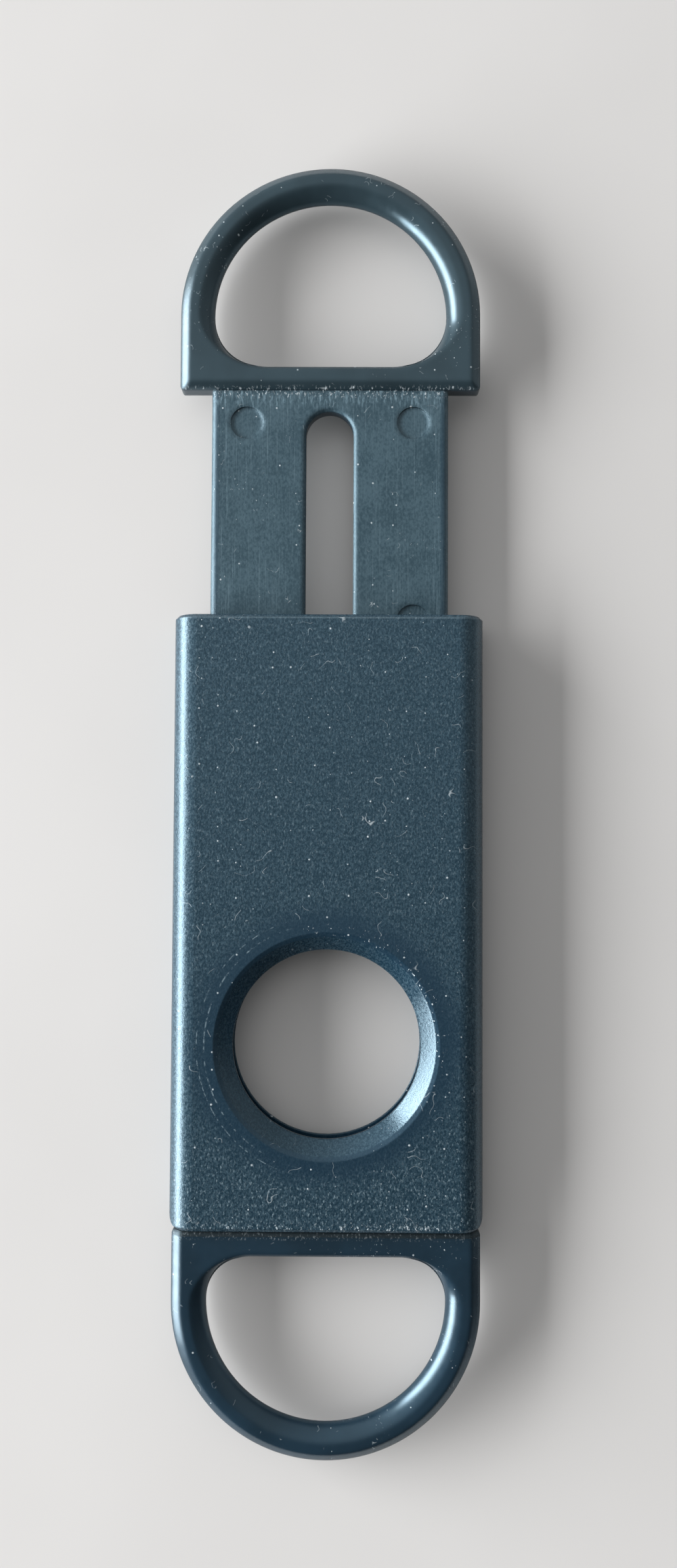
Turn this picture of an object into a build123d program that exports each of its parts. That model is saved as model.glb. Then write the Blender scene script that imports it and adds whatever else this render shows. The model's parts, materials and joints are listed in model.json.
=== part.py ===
from build123d import *
import os
from math import asin, atan, cos, degrees, hypot, radians, sin, tan

# Single-blade guillotine cigar cutter, drawn out to its stop.
#
# Millimetres. The origin is the centre of the cigar bore, half-way through the
# thickness. +Y points along the cutter to the slider's finger loop, +X to the right
# and +Z out of the front face, so the cutter lies flat on its back face.

# ---- Driving dimensions ------------------------------------------------------------

# Cigar bore: a straight hole with a conical dish in each face for the cigar's cap.
bore_diameter = 22.8
dish_width = 1.9
dish_depth = 2.0
dish_rim_break = 0.3

# Sleeve: a flat moulded tube.
sleeve_wall = 2.3  # front and back wall
sleeve_side_wall = 4.1
sleeve_long_edge_round = 3.0
sleeve_end_break = 0.4
mouth_corner_round = 0.6
foot_corner_round = 1.8
channel_lead_in = 0.3

# Slider plate: the flat carrier that runs in the sleeve's channel.
plate_width = 29.4
plate_thickness = 1.8
plate_edge_break = 0.4
plate_end_corner = 1.5
plate_gap_sideways = 0.2
plate_gap_through = 0.1

# Guide slot in the plate, and the stop peg that stands in it.
slot_width = 5.9
slot_edge_break = 0.3
slot_below_shoulder = 2.6
bridge_below_slot = 2.85
peg_diameter = 5.5
peg_height = 1.1
peg_ramp_angle = 35.0
stop_gap_open = 0.05
stop_gap_closed = 0.3
shoulder_gap_closed = 0.05

# Blade: flat stainless strip let into the back of the plate's lower end.
blade_width = 26.2
blade_thickness = 0.5
blade_lap = 9.0
blade_slant = 8.0
blade_grind_length = 1.9
blade_edge_land = 0.06
blade_seat_gap = 0.04
cut_margin = 2.8  # the edge starts and ends this far outside the bore
plate_end_margin = 1.05  # the plate's end stays this far above the bore when shut

# Plastic studs of the plate, heat-staked flush in the blade's two holes.
stud_diameter = 3.0
stud_spacing = 18.0
stud_above_plate_end = 4.5
stud_head_flare = 0.25

# Shallow round marks that the mould's ejector pins leave in the plate's front.
ejector_diameter = 4.05
ejector_depth = 0.22
ejector_offset = 10.35
ejector_below_shoulder = 4.1
ejector_pitch = 24.75

# Finger loops, one on the slider and one fixed in the sleeve's foot. They are thinner
# than the sleeve, and stand a little in from its sides.
loop_inset = 0.35
loop_step = 0.9  # how far the loops' faces stand out of the plate's
loop_centre_height = 9.5
fixed_loop_centre_height = 8.6
loop_rim_width = 4.15
loop_bar_height = 2.75
fixed_loop_bar_height = 3.05
loop_ear_corner = 0.5
loop_bevel_width = 1.1
loop_bevel_depth = 0.9
shoulder_edge_round = 0.85
grip_round_width = 1.8
grip_land = 0.2  # straight wall left between the front and back grip rounds
opening_edge_break = 0.4
round_flatness = 1.1  # radius over chord of a round's arc; a quarter circle has 0.71

# Tongue that plugs the fixed loop into the sleeve's foot.
tongue_length = 5.55
tongue_corner = 0.6
tongue_gap = 0.05
blade_tip_gap = 0.4
foot_seam_gap = 0.35

# ---- Worked-out sizes ---------------------------------------------------------------

bore_radius = bore_diameter / 2
dish_radius = bore_radius + dish_width
dish_angle = 2 * degrees(atan(dish_width / dish_depth))

channel_width = plate_width + 2 * plate_gap_sideways
channel_height = plate_thickness + 2 * plate_gap_through
sleeve_width = channel_width + 2 * sleeve_side_wall
sleeve_thickness = channel_height + 2 * sleeve_wall

# The edge crosses the whole bore, so the bore and its margins set the travel.
travel = bore_diameter + 2 * cut_margin
blade_edge_y = bore_radius + cut_margin
blade_edge_drop = blade_width / 2 * tan(radians(blade_slant))

# Upwards from the bore: shut plate end, bridge, peg, top of the slot, sleeve mouth.
plate_end_y = bore_radius + plate_end_margin + travel
slot_bottom_y = plate_end_y + bridge_below_slot
peg_y = slot_bottom_y + stop_gap_open + peg_diameter / 2
mouth_y = peg_y + peg_diameter / 2 + stop_gap_closed + slot_below_shoulder
shoulder_y = mouth_y + travel + shoulder_gap_closed
slot_top_y = shoulder_y - slot_below_shoulder
blade_top_y = plate_end_y + blade_lap
stud_y = plate_end_y + stud_above_plate_end

# Downwards from the bore: blade tip when shut, tongue, sleeve foot, fixed loop.
tongue_end_y = -(blade_edge_y + blade_edge_drop + blade_tip_gap)
foot_y = tongue_end_y - tongue_length
fixed_loop_y = foot_y - foot_seam_gap
sleeve_length = mouth_y - foot_y

# The blade fills its pocket flush with the plate's back.
blade_back_z = -plate_thickness / 2
pocket_width = blade_width + 2 * blade_seat_gap
pocket_length = blade_lap + blade_seat_gap
stud_heads = [
    (-stud_spacing / 2, stud_y, blade_back_z),
    (stud_spacing / 2, stud_y, blade_back_z),
]
ejector_marks = [
    (-ejector_offset, shoulder_y - ejector_below_shoulder),
    (ejector_offset, shoulder_y - ejector_below_shoulder),
    (ejector_offset, shoulder_y - ejector_below_shoulder - ejector_pitch),
]
peg_ramp_run = peg_height / tan(radians(peg_ramp_angle))
tongue_thickness = channel_height - 2 * tongue_gap

loop_width = sleeve_width - 2 * loop_inset
loop_thickness = plate_thickness + 2 * loop_step
loop_face_z = loop_thickness / 2
opening_radius = loop_width / 2 - loop_rim_width
grip_round_depth = (loop_thickness - grip_land) / 2

cut_over = 1.0  # how far cutting solids stand out of the part


# ---- Finger loops -------------------------------------------------------------------


def edge_section(width, depth, rounded=True):
    """What a round or a bevel of this width and depth takes off an edge at the origin.

    Local x points into the piece and local y out of its face. A round's arc is flatter
    than a quarter circle, so it meets the faces in faint moulded creases.
    """
    with BuildSketch() as section:
        with BuildLine():
            Polyline(
                (width, 0),
                (width, cut_over),
                (-cut_over, cut_over),
                (-cut_over, -depth),
                (0, -depth),
            )
            if rounded:
                RadiusArc((0, -depth), (width, 0), round_flatness * hypot(width, depth))
            else:
                Line((0, -depth), (width, 0))
        make_face()
    return section.sketch


def finger_loop(centre_height, bar_height):
    """A finger loop that stands on its shoulder at y = 0, centred on z = 0.

    Its half-round top is centred at centre_height above the shoulder, and bar_height
    is the width of the straight bar between the shoulder and the opening.
    """
    axis = Axis((0, centre_height, 0), (0, 0, 1))
    opening_corner = centre_height - bar_height
    bar_half_length = opening_radius - opening_corner

    # Outline: flat shoulder, straight flanks and a half-round top.
    with BuildSketch() as outline:
        with BuildLine():
            Line((loop_width / 2, 0), (loop_width / 2, centre_height))
            CenterArc((0, centre_height), loop_width / 2, 0, 180)
            Polyline(
                (-loop_width / 2, centre_height),
                (-loop_width / 2, 0),
                (loop_width / 2, 0),
            )
        make_face()
        fillet(outline.vertices().group_by(Axis.Y)[0], loop_ear_corner)

    # Finger opening: its corner arcs run straight into the half-round top.
    with BuildSketch() as opening:
        with BuildLine():
            CenterArc((0, centre_height), opening_radius, 0, 180)
            CenterArc((-bar_half_length, centre_height), opening_corner, 180, 90)
            Line((-bar_half_length, bar_height), (bar_half_length, bar_height))
            CenterArc((bar_half_length, centre_height), opening_corner, 270, 90)
        make_face()

    # Bevels on the outer edges of both faces, from one end of the shoulder to the other.
    bevel_section = edge_section(loop_bevel_width, loop_bevel_depth, rounded=False)
    flank_plane = Plane(
        (loop_width / 2, centre_height, loop_face_z), x_dir=(-1, 0, 0), z_dir=(0, 1, 0)
    )
    with BuildPart() as bevel_cutter:
        with BuildSketch(flank_plane):
            add(bevel_section)
        revolve(axis=axis, revolution_arc=180)
        with BuildSketch(flank_plane):
            add(bevel_section)
        extrude(amount=-centre_height)
        mirror(about=Plane.YZ)
        mirror(about=Plane.XY)

    # The grip round follows the half-round top at full size. Round each corner of the
    # opening it turns about an axis that leans outwards, which lifts it smoothly out of
    # the face by the bar, where only the small edge break is left.
    grip_section = edge_section(grip_round_width, grip_round_depth)
    grip_plane = Plane(
        (opening_radius, centre_height, loop_face_z), x_dir=(1, 0, 0), z_dir=(0, -1, 0)
    )
    lean = asin(2 * grip_round_depth / opening_corner) / 2
    fade_axis = Axis(
        (bar_half_length, centre_height, loop_face_z), (sin(lean), 0, cos(lean))
    )
    with BuildPart() as grip_cutter:
        with BuildSketch(grip_plane):
            add(grip_section)
        revolve(axis=axis, revolution_arc=180)
        with BuildSketch(grip_plane):
            add(grip_section)
        revolve(axis=fade_axis, revolution_arc=-90)
        mirror(about=Plane.YZ)
        mirror(about=Plane.XY)

    with BuildPart() as loop:
        with BuildSketch(Plane.XY.offset(-loop_face_z)):
            add(outline.sketch)
            add(opening.sketch, mode=Mode.SUBTRACT)
        extrude(amount=loop_thickness)
        front, back = loop.faces().filter_by(Axis.Z)
        opening_edges = front.inner_wires().edges() + back.inner_wires().edges()
        chamfer(opening_edges, opening_edge_break)
        add(bevel_cutter.part, mode=Mode.SUBTRACT)
        add(grip_cutter.part, mode=Mode.SUBTRACT)
    return loop.part


slider_loop_form = finger_loop(loop_centre_height, loop_bar_height)
fixed_loop_form = finger_loop(fixed_loop_centre_height, fixed_loop_bar_height)

# ---- Sleeve -------------------------------------------------------------------------

with BuildPart() as sleeve:
    # Cross-section run along Y from the mouth to the foot.
    with BuildSketch(Plane.XZ.offset(-mouth_y)):
        RectangleRounded(sleeve_width, sleeve_thickness, sleeve_long_edge_round)
    extrude(amount=sleeve_length)
    chamfer(sleeve.faces().filter_by(Axis.Y).edges(), sleeve_end_break)

    # Plan view with its four corners rounded, more at the foot than at the mouth.
    with BuildSketch(Plane.XY.offset(-sleeve_thickness / 2)) as plan:
        with Locations((0, (mouth_y + foot_y) / 2)):
            Rectangle(sleeve_width, sleeve_length)
        fillet(plan.vertices().group_by(Axis.Y)[-1], mouth_corner_round)
        fillet(plan.vertices().group_by(Axis.Y)[0], foot_corner_round)
    extrude(amount=sleeve_thickness, mode=Mode.INTERSECT)

    # Channel for the plate, open at both ends and eased at the mouth.
    with BuildSketch(Plane.XZ.offset(-mouth_y)):
        Rectangle(channel_width, channel_height)
    extrude(amount=sleeve_length, mode=Mode.SUBTRACT)
    chamfer(sleeve.faces().sort_by(Axis.Y)[-1].inner_wires().edges(), channel_lead_in)

    # Cigar bore with a dish in each face.
    with Locations(
        (0, 0, sleeve_thickness / 2),
        Location((0, 0, -sleeve_thickness / 2), (180, 0, 0)),
    ):
        CounterSinkHole(bore_radius, dish_radius, counter_sink_angle=dish_angle)
    rims = sleeve.edges().filter_by(GeomType.CIRCLE)
    rims = rims.filter_by(lambda edge: abs(edge.radius - dish_radius) < 1e-6)
    chamfer(rims, dish_rim_break)

    # Stop peg on the front wall, ramped on its mouth side so the plate snaps past it.
    with BuildSketch(Plane.XY.offset(channel_height / 2 - peg_height)):
        with Locations((0, peg_y)):
            Circle(peg_diameter / 2)
    extrude(amount=peg_height + sleeve_wall / 2)
    with BuildSketch(Plane.YZ.offset(-peg_diameter / 2)):
        with BuildLine():
            Polyline(
                (peg_y + peg_diameter / 2, channel_height / 2),
                (peg_y + peg_diameter / 2 - peg_ramp_run, channel_height / 2 - peg_height),
                (peg_y + peg_diameter / 2, channel_height / 2 - peg_height),
                close=True,
            )
        make_face()
    extrude(amount=peg_diameter, mode=Mode.SUBTRACT)

# ---- Slider -------------------------------------------------------------------------

# Its loop's shoulder edges are rounded over, almost down to the plate.
shoulder_section = edge_section(shoulder_edge_round, shoulder_edge_round)
with BuildPart() as slider_loop:
    with Locations((0, shoulder_y, 0)):
        add(slider_loop_form)
    for side in (1, -1):
        shoulder_edge = (0, shoulder_y, side * loop_face_z)
        with BuildSketch(Plane(shoulder_edge, x_dir=(0, 1, 0), z_dir=(side, 0, 0))):
            add(shoulder_section)
        extrude(amount=loop_width / 2, both=True, mode=Mode.SUBTRACT)

with BuildPart() as slider:
    with BuildSketch(Plane.XY.offset(-plate_thickness / 2)) as plate:
        with Locations((0, (plate_end_y + shoulder_y + loop_bar_height / 2) / 2)):
            Rectangle(plate_width, shoulder_y + loop_bar_height / 2 - plate_end_y)
        fillet(plate.vertices().group_by(Axis.Y)[0], plate_end_corner)
    extrude(amount=plate_thickness)
    chamfer(slider.edges().filter_by(Axis.Y), plate_edge_break)

    # Guide slot, rounded at both ends.
    with BuildSketch(Plane.XY.offset(-plate_thickness / 2)):
        with Locations((0, (slot_bottom_y + slot_top_y) / 2)):
            SlotOverall(slot_top_y - slot_bottom_y, slot_width, rotation=90)
    extrude(amount=plate_thickness, mode=Mode.SUBTRACT)
    slot_edges = slider.faces().sort_by(Axis.Z)[-1].inner_wires().edges()
    chamfer(slot_edges, slot_edge_break)

    # Pocket in the back for the blade, with the studs left standing in it.
    with BuildSketch(Plane.XY.offset(-plate_thickness / 2)):
        with Locations((0, plate_end_y)):
            Rectangle(pocket_width, pocket_length, align=(Align.CENTER, Align.MIN))
    extrude(amount=blade_thickness, mode=Mode.SUBTRACT)
    with Locations((-stud_spacing / 2, stud_y, 0), (stud_spacing / 2, stud_y, 0)):
        Cylinder(
            stud_diameter / 2,
            plate_thickness / 2,
            align=(Align.CENTER, Align.CENTER, Align.MAX),
        )
    with Locations(*stud_heads):
        Cone(
            stud_diameter / 2 + stud_head_flare,
            stud_diameter / 2,
            stud_head_flare,
            align=(Align.CENTER, Align.CENTER, Align.MIN),
        )

    # Ejector-pin marks on the front, two by the shoulder and one lower on the right.
    with BuildSketch(Plane.XY.offset(plate_thickness / 2)):
        with Locations(*ejector_marks):
            Circle(ejector_diameter / 2)
    extrude(amount=-ejector_depth, mode=Mode.SUBTRACT)

    add(slider_loop.part)

# ---- Blade --------------------------------------------------------------------------

with BuildPart() as blade:
    # Straight edge set at a slant, so it slices across the cigar.
    with BuildSketch(Plane.XY.offset(blade_back_z)):
        with BuildLine():
            Polyline(
                (-blade_width / 2, blade_edge_y - blade_edge_drop),
                (blade_width / 2, blade_edge_y + blade_edge_drop),
                (blade_width / 2, blade_top_y),
                (-blade_width / 2, blade_top_y),
                close=True,
            )
        make_face()
        with Locations((-stud_spacing / 2, stud_y), (stud_spacing / 2, stud_y)):
            Circle(stud_diameter / 2 + blade_seat_gap, mode=Mode.SUBTRACT)
    extrude(amount=blade_thickness)

    # Ground on the front only, down to a thin land on the back.
    front = blade.faces().sort_by(Axis.Z)[-1]
    chamfer(
        front.edges().sort_by(Axis.Y)[0],
        blade_grind_length,
        blade_thickness - blade_edge_land,
        reference=front,
    )

    # Holes flared at the back, where the studs' heads are staked flush.
    back = blade.faces().sort_by(Axis.Z)[0]
    chamfer(back.inner_wires().edges(), stud_head_flare)

# ---- Fixed loop ---------------------------------------------------------------------

with BuildPart() as end_loop:
    with Locations(Location((0, fixed_loop_y, 0), (0, 0, 180))):
        add(fixed_loop_form)
    with BuildSketch(Plane.XY.offset(-tongue_thickness / 2)) as tongue:
        with Locations((0, fixed_loop_y - fixed_loop_bar_height / 2)):
            Rectangle(
                channel_width - 2 * tongue_gap,
                tongue_end_y - fixed_loop_y + fixed_loop_bar_height / 2,
                align=(Align.CENTER, Align.MIN),
            )
        chamfer(tongue.vertices().group_by(Axis.Y)[-1], tongue_corner)
    extrude(amount=tongue_thickness)

# ---- Files --------------------------------------------------------------------------

sleeve.part.label = "sleeve"
slider.part.label = "slider"
blade.part.label = "blade"
end_loop.part.label = "end_loop"

os.makedirs("parts", exist_ok=True)
for piece in (sleeve, slider, blade, end_loop):
    export_step(piece.part, f"parts/{piece.part.label}.step")
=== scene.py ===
"""Looks for the single-blade guillotine cigar cutter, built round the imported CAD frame.

It gives the four CAD nodes their materials, adds a floor, the light and the camera, and
leaves the CAD pieces as they are. Places and sizes of objects are in metres in the CAD
frame. Material patterns are in millimetres, from each piece's own object coordinates, so
they travel with the piece.
"""

import json

import bpy
from mathutils import Euler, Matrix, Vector


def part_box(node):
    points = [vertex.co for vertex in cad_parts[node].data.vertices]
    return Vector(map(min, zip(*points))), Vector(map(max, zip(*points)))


MM = 0.001

# ---- Frame and places ---------------------------------------------------------------

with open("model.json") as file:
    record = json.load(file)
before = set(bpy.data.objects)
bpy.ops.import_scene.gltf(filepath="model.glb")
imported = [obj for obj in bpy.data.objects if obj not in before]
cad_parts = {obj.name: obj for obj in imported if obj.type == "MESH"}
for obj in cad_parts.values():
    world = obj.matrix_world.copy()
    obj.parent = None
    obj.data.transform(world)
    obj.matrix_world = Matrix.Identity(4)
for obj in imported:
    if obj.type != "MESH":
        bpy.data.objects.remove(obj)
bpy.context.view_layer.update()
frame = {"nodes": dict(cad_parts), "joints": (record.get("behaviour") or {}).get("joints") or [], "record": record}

# From here to the materials, places are in millimetres.
sleeve_low, sleeve_high = (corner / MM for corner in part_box("sleeve"))
bore = frame["record"]["mounts"][0]
travel = frame["joints"][0]["range_m"][1] / MM

MOUTH_Y = sleeve_high.y
FOOT_Y = sleeve_low.y
SHOULDER_Y = MOUTH_Y + travel  # where the slider's plate meets its finger loop
DISH_WIDTH = 2.1  # from the bore to the outside of the dish's broken rim
DISH_RADIUS = bore["dims"]["r_mm"] + DISH_WIDTH

# Distances from the plate's middle line: where its sides rub in the channel, and the
# cleaner strip outside that.
RUBBED_X = 13.1
OILED_X = 14.1

# ---- Node helpers -------------------------------------------------------------------

# Sockets of a Mix node between two colours, which share their names with its other kinds.
MIX_A, MIX_B, MIX_RESULT = 6, 7, 2


class Nodes:
    """Short calls for building one material's node tree.

    Each value that they take or give is a number, a tuple or a node's output socket.
    """

    def __init__(self, name):
        self.material = bpy.data.materials.new(name)
        self.material.use_nodes = True
        self.tree = self.material.node_tree
        self.tree.nodes.clear()
        self.shader = self.add("ShaderNodeBsdfPrincipled")
        output = self.add("ShaderNodeOutputMaterial")
        self.link(self.shader.outputs["BSDF"], output.inputs["Surface"])
        coordinates = self.add("ShaderNodeTexCoord")
        self.mm = self.vector("SCALE", coordinates.outputs["Object"], scale=1 / MM)
        self.x, self.y, _ = self.split(self.mm)

    def add(self, kind, **settings):
        node = self.tree.nodes.new(kind)
        for key, value in settings.items():
            setattr(node, key, value)
        return node

    def link(self, start, end):
        self.tree.links.new(start, end)

    def put(self, socket, value):
        if isinstance(value, bpy.types.NodeSocket):
            self.link(value, socket)
        else:
            socket.default_value = value

    def split(self, vector):
        node = self.add("ShaderNodeSeparateXYZ")
        self.link(vector, node.inputs["Vector"])
        return node.outputs

    def vector(self, operation, a, b=None, c=None, scale=None):
        node = self.add("ShaderNodeVectorMath", operation=operation)
        for socket, value in zip(node.inputs, (a, b, c)):
            if value is not None:
                self.put(socket, value)
        if scale is not None:
            node.inputs["Scale"].default_value = scale
        return node.outputs["Value" if operation == "LENGTH" else "Vector"]

    def math(self, operation, a, b=None, c=None):
        node = self.add("ShaderNodeMath", operation=operation)
        for socket, value in zip(node.inputs, (a, b, c)):
            if value is not None:
                self.put(socket, value)
        return node.outputs["Value"]

    def times(self, *values):
        result = values[0]
        for value in values[1:]:
            result = self.math("MULTIPLY", result, value)
        return result

    def total(self, *values):
        result = values[0]
        for value in values[1:]:
            result = self.math("ADD", result, value)
        return result

    def weighted(self, *pairs):
        """The sum of each pair's value times its weight."""
        return self.total(*(self.times(value, weight) for value, weight in pairs))

    def at_most_one(self, value):
        return self.math("MINIMUM", value, 1.0)

    def one_minus(self, value):
        return self.math("SUBTRACT", 1.0, value)

    def ramp(self, value, low, high, bottom=0.0, top=1.0):
        """A smooth step from bottom at low to top at high, held flat outside them.

        It runs the other way where low is the greater of the two.
        """
        node = self.add("ShaderNodeMapRange", interpolation_type="SMOOTHSTEP", clamp=True)
        self.put(node.inputs["Value"], value)
        if low > high:
            low, high, bottom, top = high, low, top, bottom
        node.inputs["From Min"].default_value = low
        node.inputs["From Max"].default_value = high
        node.inputs["To Min"].default_value = bottom
        node.inputs["To Max"].default_value = top
        return node.outputs["Result"]

    def band(self, value, centre, half_width, soft):
        """One near the centre value, fading to nought at half_width + soft away from it."""
        off = self.math("ABSOLUTE", self.math("SUBTRACT", value, centre))
        return self.ramp(off, half_width + soft, half_width)

    def place(self, stretch, shift):
        return self.vector("MULTIPLY_ADD", self.mm, stretch, shift)

    def noise(self, per_mm, detail=2.0, rough=0.5, stretch=(1, 1, 1), shift=(0, 0, 0)):
        """Noise of about per_mm blobs to a millimetre.

        stretch multiplies that along each axis, and shift picks another part of the
        pattern, so that two noises don't coincide.
        """
        node = self.add("ShaderNodeTexNoise")
        self.link(self.place(stretch, shift), node.inputs["Vector"])
        node.inputs["Scale"].default_value = per_mm
        node.inputs["Detail"].default_value = detail
        node.inputs["Roughness"].default_value = rough
        return node.outputs["Fac"]

    def specks(self, spacing, keep, size, shift=(0, 0, 0)):
        """Round specks seen from the front: one per cell of spacing mm, some kept.

        keep is the share of cells that have one, size the largest radius in cells.
        """
        node = self.add("ShaderNodeTexVoronoi", voronoi_dimensions="2D")
        self.link(self.place((1, 1, 1), shift), node.inputs["Vector"])
        node.inputs["Scale"].default_value = 1 / spacing
        colour = self.add("ShaderNodeSeparateColor")
        self.link(node.outputs["Color"], colour.inputs["Color"])
        chance, spread, _ = colour.outputs
        # Each speck has a radius of its own, and is full within 0.4 of it.
        smallest = 0.3 * size
        radius = self.math("MULTIPLY_ADD", spread, size - smallest, smallest)
        inside = self.math("DIVIDE", node.outputs["Distance"], radius)
        kept = self.math("LESS_THAN", chance, keep)
        return self.times(self.ramp(inside, 1.0, 0.4), kept)

    def crumbs(self, stretch, low, high, shift=(0, 0, 0)):
        """Ragged bits of lint, drawn out along the axis that has the smallest stretch.

        They are the parts of a noise above low, full from high on.
        """
        bits = self.noise(1.0, detail=3.0, rough=0.7, stretch=stretch, shift=shift)
        return self.ramp(bits, low, high)

    def fibres(self, per_mm, patches, width, shift):
        """Short curled hairs: stretches of a noise's mid-height contour lines.

        patches is the height that a second noise must reach for a stretch to be kept,
        width the half-height of a contour line.
        """
        field = self.noise(per_mm, detail=1.0, shift=shift)
        off = self.math("ABSOLUTE", self.math("SUBTRACT", field, 0.5))
        patch = self.noise(per_mm * 0.9, detail=0.0, shift=(shift[1], 31.7, 9.1))
        kept = self.ramp(patch, patches, patches + 0.03)
        return self.times(self.ramp(off, width, 0.0), kept)

    def mix(self, factor, a, b):
        node = self.add("ShaderNodeMix", data_type="RGBA")
        self.put(node.inputs["Factor"], factor)
        self.put(node.inputs[MIX_A], a)
        self.put(node.inputs[MIX_B], b)
        return node.outputs[MIX_RESULT]

    def facing(self):
        """How far a face turns to the cutter's front, and masks of front and upright."""
        normal = self.add("ShaderNodeTexCoord").outputs["Normal"]
        upward = self.split(normal)["Z"]
        tilt = self.math("ABSOLUTE", upward)
        return upward, self.ramp(upward, 0.6, 0.9), self.ramp(tilt, 0.5, 0.25)

    def relief(self, height, depth_mm, bevel_mm):
        """Bump of depth_mm over edges softened by bevel_mm, into the shader's normal."""
        bevel = self.add("ShaderNodeBevel", samples=6)
        bevel.inputs["Radius"].default_value = bevel_mm * MM
        bump = self.add("ShaderNodeBump")
        bump.inputs["Distance"].default_value = depth_mm * MM
        self.link(height, bump.inputs["Height"])
        self.link(bevel.outputs["Normal"], bump.inputs["Normal"])
        self.link(bump.outputs["Normal"], self.shader.inputs["Normal"])

    def finish(self, colour, roughness, specular=0.5, tint=(1, 1, 1, 1)):
        self.put(self.shader.inputs["Base Color"], colour)
        self.put(self.shader.inputs["Roughness"], roughness)
        self.shader.inputs["Specular IOR Level"].default_value = specular
        self.shader.inputs["Specular Tint"].default_value = tint
        return self.material


# ---- Materials ----------------------------------------------------------------------

# The photograph shows the plastic as a dark blue. How much of that is the plastic's own
# and how much is light isn't known. These colours were set by comparing renders with it.
SLEEVE_DARK = (0.0055, 0.0240, 0.0420, 1)
SLEEVE_LIGHT = (0.0460, 0.0880, 0.1200, 1)
SLEEVE_RUBBED = (0.0080, 0.0280, 0.0520, 1)
PLATE_DARK = (0.0215, 0.0480, 0.0660, 1)
PLATE_LIGHT = (0.0570, 0.1000, 0.1260, 1)
END_LOOP = (0.0090, 0.0235, 0.0390, 1)
SLIDER_LOOP = (0.0200, 0.0350, 0.0440, 1)
# Painted shade for upright walls.
SHADED_WALL_COLOUR = (0.0050, 0.0150, 0.0250, 1)
OILED = (0.010, 0.030, 0.052, 1)
SCRATCH = (0.13, 0.20, 0.24, 1)
HAIRLINE = (0.16, 0.23, 0.27, 1)
COMBED_LINT = (0.24, 0.36, 0.43, 1)
# Colour of dust, also used for the painted highlight along the mouth's edge.
DUST_AND_HIGHLIGHT = (0.33, 0.44, 0.50, 1)
MOTE = (0.74, 0.82, 0.86, 1)
# Painted shade for the seam just below the sleeve's foot.
SEAM_SHADE = (0.002, 0.003, 0.004, 1)
BLUE_GLOSS = (0.60, 0.85, 1.0, 1)

PLASTIC_SPECULAR = 1.0
LOOP_MOTTLE = 1.6  # how much lighter the loops' light patches are
WALL_SHADE_AMOUNT = 0.85  # how far upright walls take the painted shade's colour
LINT_AND_SHADE_ROUGHNESS = 0.3  # added where lint lies and over the painted seam shade

STEEL_DULL = (0.50, 0.51, 0.52, 1)
STEEL_BRIGHT = (0.64, 0.65, 0.65, 1)
STEEL_STAINED = (0.40, 0.40, 0.39, 1)

FLOOR_DARK = (0.73, 0.72, 0.71, 1)
FLOOR_LIGHT = (0.76, 0.75, 0.74, 1)


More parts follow.
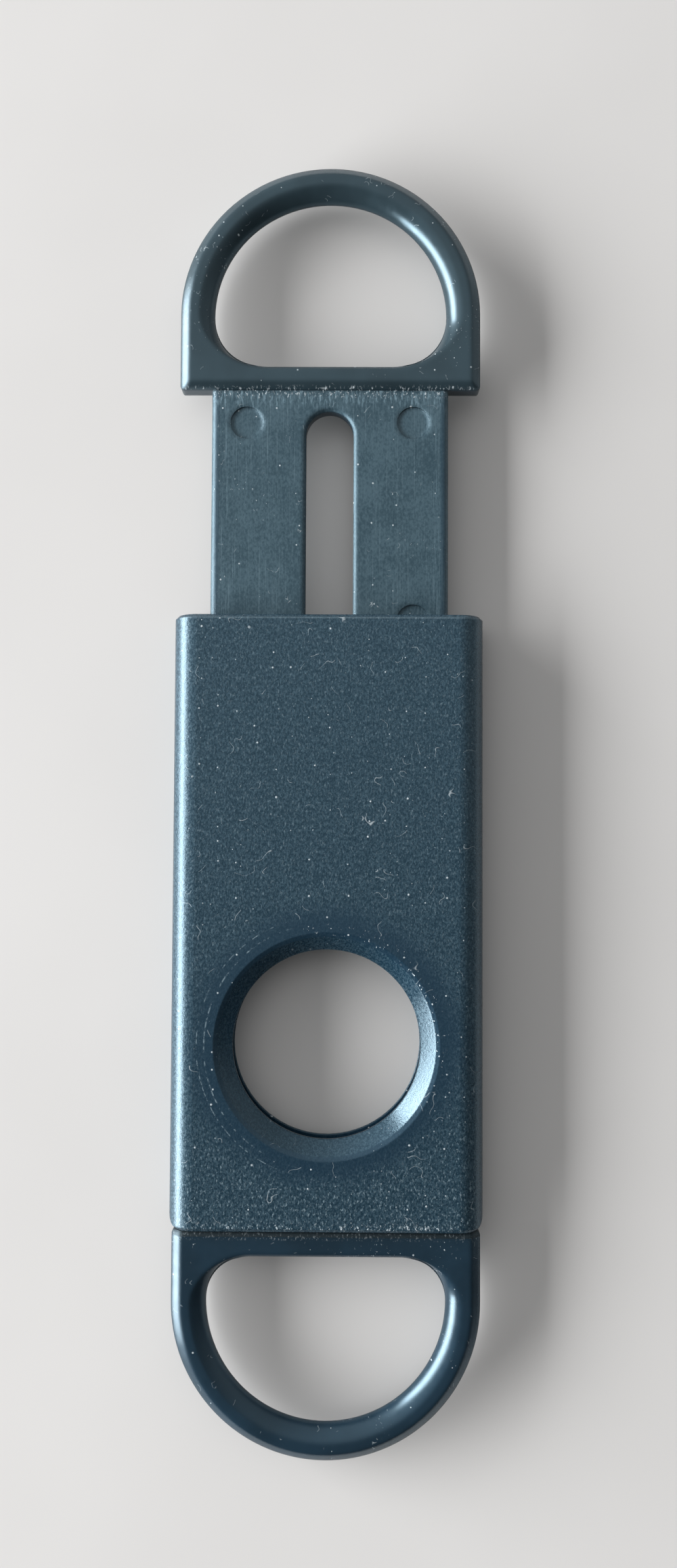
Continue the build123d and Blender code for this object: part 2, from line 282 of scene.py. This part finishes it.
def sleeve_plastic():
    """Matt dark plastic: fine even grain, with dust, lint and a rubbed rim, painted shade on upright walls and a
    painted highlight along the mouth.
    """
    n = Nodes("sleeve_plastic")
    from_axis = n.vector("LENGTH", n.vector("MULTIPLY", n.mm, (1, 1, 0)))
    outside = n.math("SUBTRACT", from_axis, DISH_RADIUS)
    _, front, wall = n.facing()

    grain = n.noise(3.4, detail=3.0, rough=0.62, stretch=(1.25, 0.80, 1.0))
    fine = n.noise(7.0, detail=1.0, stretch=(1.2, 0.8, 1.0), shift=(7.0, 3.0, 1.0))
    cloud = n.noise(0.11, detail=3.0, shift=(2.0, 5.0, 0.0))
    pits = n.weighted((grain, 0.65), (fine, 0.35))

    # A patch round the dish is polished, as by handling, with arcs of fine scratches in
    # it. The cloud moves the patch's edge in and out by up to 1.5 mm.
    wobble = n.math("MULTIPLY_ADD", cloud, 3.0, -1.5)
    handled = n.ramp(n.math("ADD", outside, wobble), 4.6, 0.6)
    polished = n.times(handled, front)
    arcs = n.times(
        n.total(
            n.band(outside, 1.2, half_width=0.02, soft=0.10),
            n.band(outside, 2.1, half_width=0.01, soft=0.08),
        ),
        n.ramp(n.x, -2.0, -9.0),
        n.ramp(n.noise(1.6, detail=3.0, rough=0.7), 0.48, 0.62),
    )
    nicks = n.times(
        n.crumbs((3.0, 1.8, 1.0), 0.64, 0.70, shift=(6.0, 2.0, 0.0)),
        n.band(outside, 0.2, half_width=0.3, soft=0.9),
        n.ramp(n.total(n.x, n.y), 9.0, 15.0),
    )

    # Dust lies thinly on the front, thicker towards the foot, and not on the polish.
    low_down = n.ramp(n.y, -6.0, FOOT_Y)
    powder = n.times(
        n.crumbs((4.2, 2.0, 4.2), 0.54, 0.72, shift=(1.0, 9.0, 4.0)),
        n.math("MULTIPLY_ADD", low_down, 0.40, 0.28),
        n.one_minus(polished),
    )
    # A painted highlight: a lighter line along the mouth's edge.
    mouth_highlight = n.times(n.band(n.y, MOUTH_Y - 0.35, half_width=0.05, soft=0.25), 0.22)
    dust_film_and_highlight = n.times(n.at_most_one(n.total(powder, n.times(arcs, 0.5), mouth_highlight)), front)

    # Motes: sparse specks, finer ones in clouds, lint along the foot, nicks and hairs.
    lint_at_foot = n.times(
        n.crumbs((3.8, 2.0, 1.0), 0.58, 0.68, shift=(0.4, 6.1, 0)),
        n.band(n.y, FOOT_Y + 0.3, half_width=0.25, soft=0.9),
    )
    motes = n.total(
        n.times(n.specks(2.3, keep=0.34, size=0.075), 0.75),
        n.times(
            n.specks(0.9, keep=0.10, size=0.12, shift=(3.3, 1.7, 0)),
            n.ramp(cloud, 0.45, 0.65),
            0.6,
        ),
        lint_at_foot,
        nicks,
        n.times(n.fibres(0.42, patches=0.66, width=0.008, shift=(4.0, 12.0, 0.0)), 0.45),
    )
    motes = n.times(n.at_most_one(motes), front)

    plastic = n.mix(n.ramp(pits, 0.40, 0.68), SLEEVE_DARK, SLEEVE_LIGHT)
    plastic = n.mix(n.times(polished, 0.75), plastic, SLEEVE_RUBBED)
    # Painted shade: upright walls are darkened towards the shaded wall colour.
    plastic = n.mix(n.times(wall, WALL_SHADE_AMOUNT), plastic, SHADED_WALL_COLOUR)
    colour = n.mix(motes, n.mix(dust_film_and_highlight, plastic, DUST_AND_HIGHLIGHT), MOTE)

    roughness = n.total(
        n.ramp(grain, 0.35, 0.65, 0.26, 0.35),
        n.times(handled, -0.09),
        n.times(motes, LINT_AND_SHADE_ROUGHNESS),
    )
    height = n.weighted((grain, 0.7), (fine, 0.4), (motes, 0.6), (polished, -0.2))
    flatter = n.math("MULTIPLY_ADD", handled, -0.4, 1.0)
    n.relief(n.times(height, flatter), depth_mm=0.034, bevel_mm=0.25)
    return n.finish(colour, roughness, PLASTIC_SPECULAR, BLUE_GLOSS)


def moulded_plastic(name, loop_colour):
    """Smooth moulded dark plastic of both loops, duller and scratched on the plate, with painted shade on upright
    walls and in a band below the sleeve's foot.
    """
    n = Nodes(name)
    upward, front, wall = n.facing()
    side = n.math("ABSOLUTE", n.x)
    below_foot = n.math("LESS_THAN", n.y, FOOT_Y)
    plate = n.times(
        n.math("LESS_THAN", n.y, SHOULDER_Y), n.math("GREATER_THAN", n.y, FOOT_Y)
    )

    ripple = n.noise(0.22, shift=(5.0, 0.0, 2.0))
    orange_peel = n.noise(1.1, rough=0.45)
    tooth = n.noise(4.0, rough=0.6, stretch=(1.2, 0.7, 1.0))
    cloud = n.noise(0.16, detail=3.0, shift=(9.0, 2.0, 0.0))

    # The plate is scored lengthwise, as by the channel, and most where its sides rub.
    score = n.noise(1.0, detail=4.0, rough=0.75, stretch=(5.5, 0.10, 1.0))
    hairline = n.noise(1.0, stretch=(11.0, 0.06, 1.0), shift=(3, 8, 0))
    rub = n.band(side, RUBBED_X, half_width=0.35, soft=0.6)
    more_at_sides = n.math("MULTIPLY_ADD", rub, 0.75, 0.25)
    scratches = n.times(n.ramp(score, 0.50, 0.70), more_at_sides, plate, front)
    hairlines = n.times(n.ramp(hairline, 0.60, 0.72), plate, front)
    oiled = n.times(n.band(side, OILED_X, half_width=0.25, soft=0.2), plate)

    # Lint: combed against the slider's shoulder, caught in the seam, and stray motes.
    combed = n.times(
        n.crumbs((3.4, 0.7, 1.0), 0.48, 0.68, shift=(1.0, 2.0, 0.0)),
        n.ramp(n.y, SHOULDER_Y - 3.4, SHOULDER_Y - 0.2),
        plate,
    )
    crumbs = n.crumbs((4.0, 2.2, 1.0), 0.56, 0.66, shift=(2.0, 0.0, 0.0))
    shoulder = n.band(n.y, SHOULDER_Y - 0.3, half_width=0.25, soft=0.6)
    seam = n.times(n.band(n.y, FOOT_Y - 0.9, half_width=0.25, soft=0.35), below_foot)
    clusters = n.ramp(n.noise(0.13, detail=1.0, shift=(3.5, 6.0, 0.0)), 0.54, 0.66)
    bunched = n.crumbs((3.6, 2.0, 1.0), 0.66, 0.72, shift=(5.0, 1.0, 0.0))
    motes = n.total(
        n.times(crumbs, n.weighted((shoulder, 0.9), (seam, 0.25))),
        n.times(n.specks(2.4, keep=0.30, size=0.065, shift=(2.0, 0.6, 0)), 0.7),
        n.times(bunched, clusters, 0.9),
        n.times(n.fibres(0.80, patches=0.72, width=0.014, shift=(8.0, 3.0, 0.0)), 0.35),
    )
    motes = n.times(n.at_most_one(motes), n.ramp(upward, 0.25, 0.5))
    # Painted shade: a nearly black band on the fixed loop just below the sleeve's foot, where the seam lies in
    # shade.
    seam_shade = n.times(n.band(n.y, FOOT_Y - 0.45, half_width=0.45, soft=0.20), below_foot)

    toned = n.weighted((tooth, 0.6), (cloud, 0.4))
    plate_colour = n.mix(n.ramp(toned, 0.38, 0.62), PLATE_DARK, PLATE_LIGHT)
    for mark, share, mark_colour in (
        (oiled, 0.60, OILED),
        (scratches, 0.55, SCRATCH),
        (hairlines, 0.40, HAIRLINE),
        (combed, 0.75, COMBED_LINT),
    ):
        plate_colour = n.mix(n.times(mark, share), plate_colour, mark_colour)
    lighter = tuple(LOOP_MOTTLE * channel for channel in loop_colour[:3]) + (1,)
    mottled = n.mix(n.ramp(cloud, 0.35, 0.65, 0.0, 0.5), loop_colour, lighter)
    colour = n.mix(plate, mottled, plate_colour)
    # Painted shade: upright walls are darkened towards the shaded wall colour.
    colour = n.mix(n.times(wall, WALL_SHADE_AMOUNT), colour, SHADED_WALL_COLOUR)
    colour = n.mix(seam_shade, colour, SEAM_SHADE)
    colour = n.mix(motes, colour, MOTE)

    loop_roughness = n.ramp(orange_peel, 0.3, 0.7, 0.20, 0.26)
    plate_roughness = n.total(
        n.ramp(tooth, 0.35, 0.65, 0.29, 0.37), n.times(scratches, 0.12)
    )
    roughness = n.weighted(
        (loop_roughness, n.one_minus(plate)),
        (plate_roughness, plate),
        (motes, LINT_AND_SHADE_ROUGHNESS),
        (seam_shade, LINT_AND_SHADE_ROUGHNESS),
    )
    height = n.weighted(
        (ripple, 0.5),
        (orange_peel, 0.12),
        (tooth, n.times(plate, 0.35)),
        (scratches, -0.3),
        (hairlines, -0.2),
        (motes, 0.6),
    )
    n.relief(height, depth_mm=0.022, bevel_mm=0.90)
    return n.finish(colour, roughness, PLASTIC_SPECULAR, BLUE_GLOSS)


def blade_steel():
    """Stainless strip: lines of rolling along its length, and shorter grinding marks."""
    n = Nodes("blade_steel")
    rolled = n.noise(1.0, detail=4.0, rough=0.7, stretch=(7.0, 0.25, 1.0))
    ground = n.noise(1.0, detail=4.0, rough=0.7, stretch=(9.0, 1.2, 9.0), shift=(2, 0, 5))
    cloud = n.noise(0.14, detail=3.0)
    bright = n.mix(n.ramp(rolled, 0.35, 0.65), STEEL_DULL, STEEL_BRIGHT)
    colour = n.mix(n.ramp(cloud, 0.45, 0.70, 0.0, 0.35), bright, STEEL_STAINED)
    roughness = n.total(
        n.ramp(rolled, 0.3, 0.7, 0.20, 0.34), n.ramp(cloud, 0.4, 0.7, 0.0, 0.08)
    )
    n.shader.inputs["Metallic"].default_value = 1.0
    n.relief(n.weighted((rolled, 0.6), (ground, 0.4)), depth_mm=0.006, bevel_mm=0.04)
    return n.finish(colour, roughness)


def floor_paint():
    """Pale matt studio floor with a trace of unevenness."""
    n = Nodes("floor_paint")
    patch = n.noise(0.02, detail=3.0)
    colour = n.mix(n.ramp(patch, 0.3, 0.7), FLOOR_DARK, FLOOR_LIGHT)
    return n.finish(colour, roughness=0.8)


materials = {
    "sleeve": sleeve_plastic(),
    "end_loop": moulded_plastic("end_loop_plastic", END_LOOP),
    "slider": moulded_plastic("slider_plastic", SLIDER_LOOP),
    "blade": blade_steel(),
}
for node, material in materials.items():
    for material_slot in frame["nodes"][node].material_slots:
        material_slot.material = material

# ---- Stage --------------------------------------------------------------------------

FLOOR_SIZE = 4.0
FLOOR_GAP = 0.02 * MM  # below the sleeve's back, so that the two don't coincide

floor_z = sleeve_low.z * MM - FLOOR_GAP
bpy.ops.mesh.primitive_plane_add(size=FLOOR_SIZE, location=(0, 0, floor_z))
floor = bpy.context.object
floor.name = "floor"
floor.data.materials.append(floor_paint())


def studio_world(foot, head, right):
    """Soft light from all round, stronger from +Y and from the left.

    foot and head are its strength towards -Y and +Y, right the share of it that is left
    towards +X. Each changes smoothly within a reach on both sides of the middle.
    """
    world = bpy.data.worlds.new("studio")
    world.use_nodes = True
    tree = world.node_tree
    direction = tree.nodes.new("ShaderNodeTexCoord")
    split = tree.nodes.new("ShaderNodeSeparateXYZ")
    tree.links.new(direction.outputs["Generated"], split.inputs["Vector"])
    slopes = []
    for axis, reach, low, high in (("Y", 0.45, foot, head), ("X", 0.60, 1.0, right)):
        slope = tree.nodes.new("ShaderNodeMapRange")
        slope.interpolation_type = "SMOOTHSTEP"
        slope.inputs["From Min"].default_value = -reach
        slope.inputs["From Max"].default_value = reach
        slope.inputs["To Min"].default_value = low
        slope.inputs["To Max"].default_value = high
        tree.links.new(split.outputs[axis], slope.inputs["Value"])
        slopes.append(slope.outputs["Result"])
    strength = tree.nodes.new("ShaderNodeMath")
    strength.operation = "MULTIPLY"
    background = tree.nodes["Background"]
    background.inputs["Color"].default_value = (1, 1, 1, 1)
    tree.links.new(slopes[0], strength.inputs[0])
    tree.links.new(slopes[1], strength.inputs[1])
    tree.links.new(strength.outputs["Value"], background.inputs["Strength"])
    return world


def area_lamp(name, place, target, width, height, power):
    """A rectangular lamp of power watts at place, facing target."""
    data = bpy.data.lights.new(name, "AREA")
    data.shape = "RECTANGLE"
    data.size = width
    data.size_y = height
    data.energy = power
    lamp = bpy.data.objects.new(name, data)
    bpy.context.scene.collection.objects.link(lamp)
    lamp.location = place
    aim = Vector(target) - Vector(place)
    lamp.rotation_euler = aim.to_track_quat("-Z", "Y").to_euler()


bpy.context.scene.world = studio_world(foot=0.13, head=0.78, right=0.50)
area_lamp(
    "window",
    place=(-1.50, 0.02, 0.39),
    target=(0, 0.03, 0),
    width=2.20,
    height=0.74,
    power=82.0,
)

# ---- Camera -------------------------------------------------------------------------

# Fitted to the photograph, with the sensor's width along the picture's height.
SENSOR_WIDTH = 36.0
LENS = 27.04
CAMERA_PLACE = Vector((2.609, 25.654, 145.284)) * MM
CAMERA_TURN = Euler((0.041, 0.009, 0.005), "ZYX")
NEAREST_SEEN = 0.01

camera_data = bpy.data.cameras.new("camera")
camera_data.sensor_width = SENSOR_WIDTH
camera_data.lens = LENS
camera_data.clip_start = NEAREST_SEEN
camera = bpy.data.objects.new("camera", camera_data)
bpy.context.scene.collection.objects.link(camera)
camera.location = CAMERA_PLACE
camera.rotation_euler = CAMERA_TURN
bpy.context.scene.camera = camera

bpy.context.scene.view_settings.view_transform = "Standard"
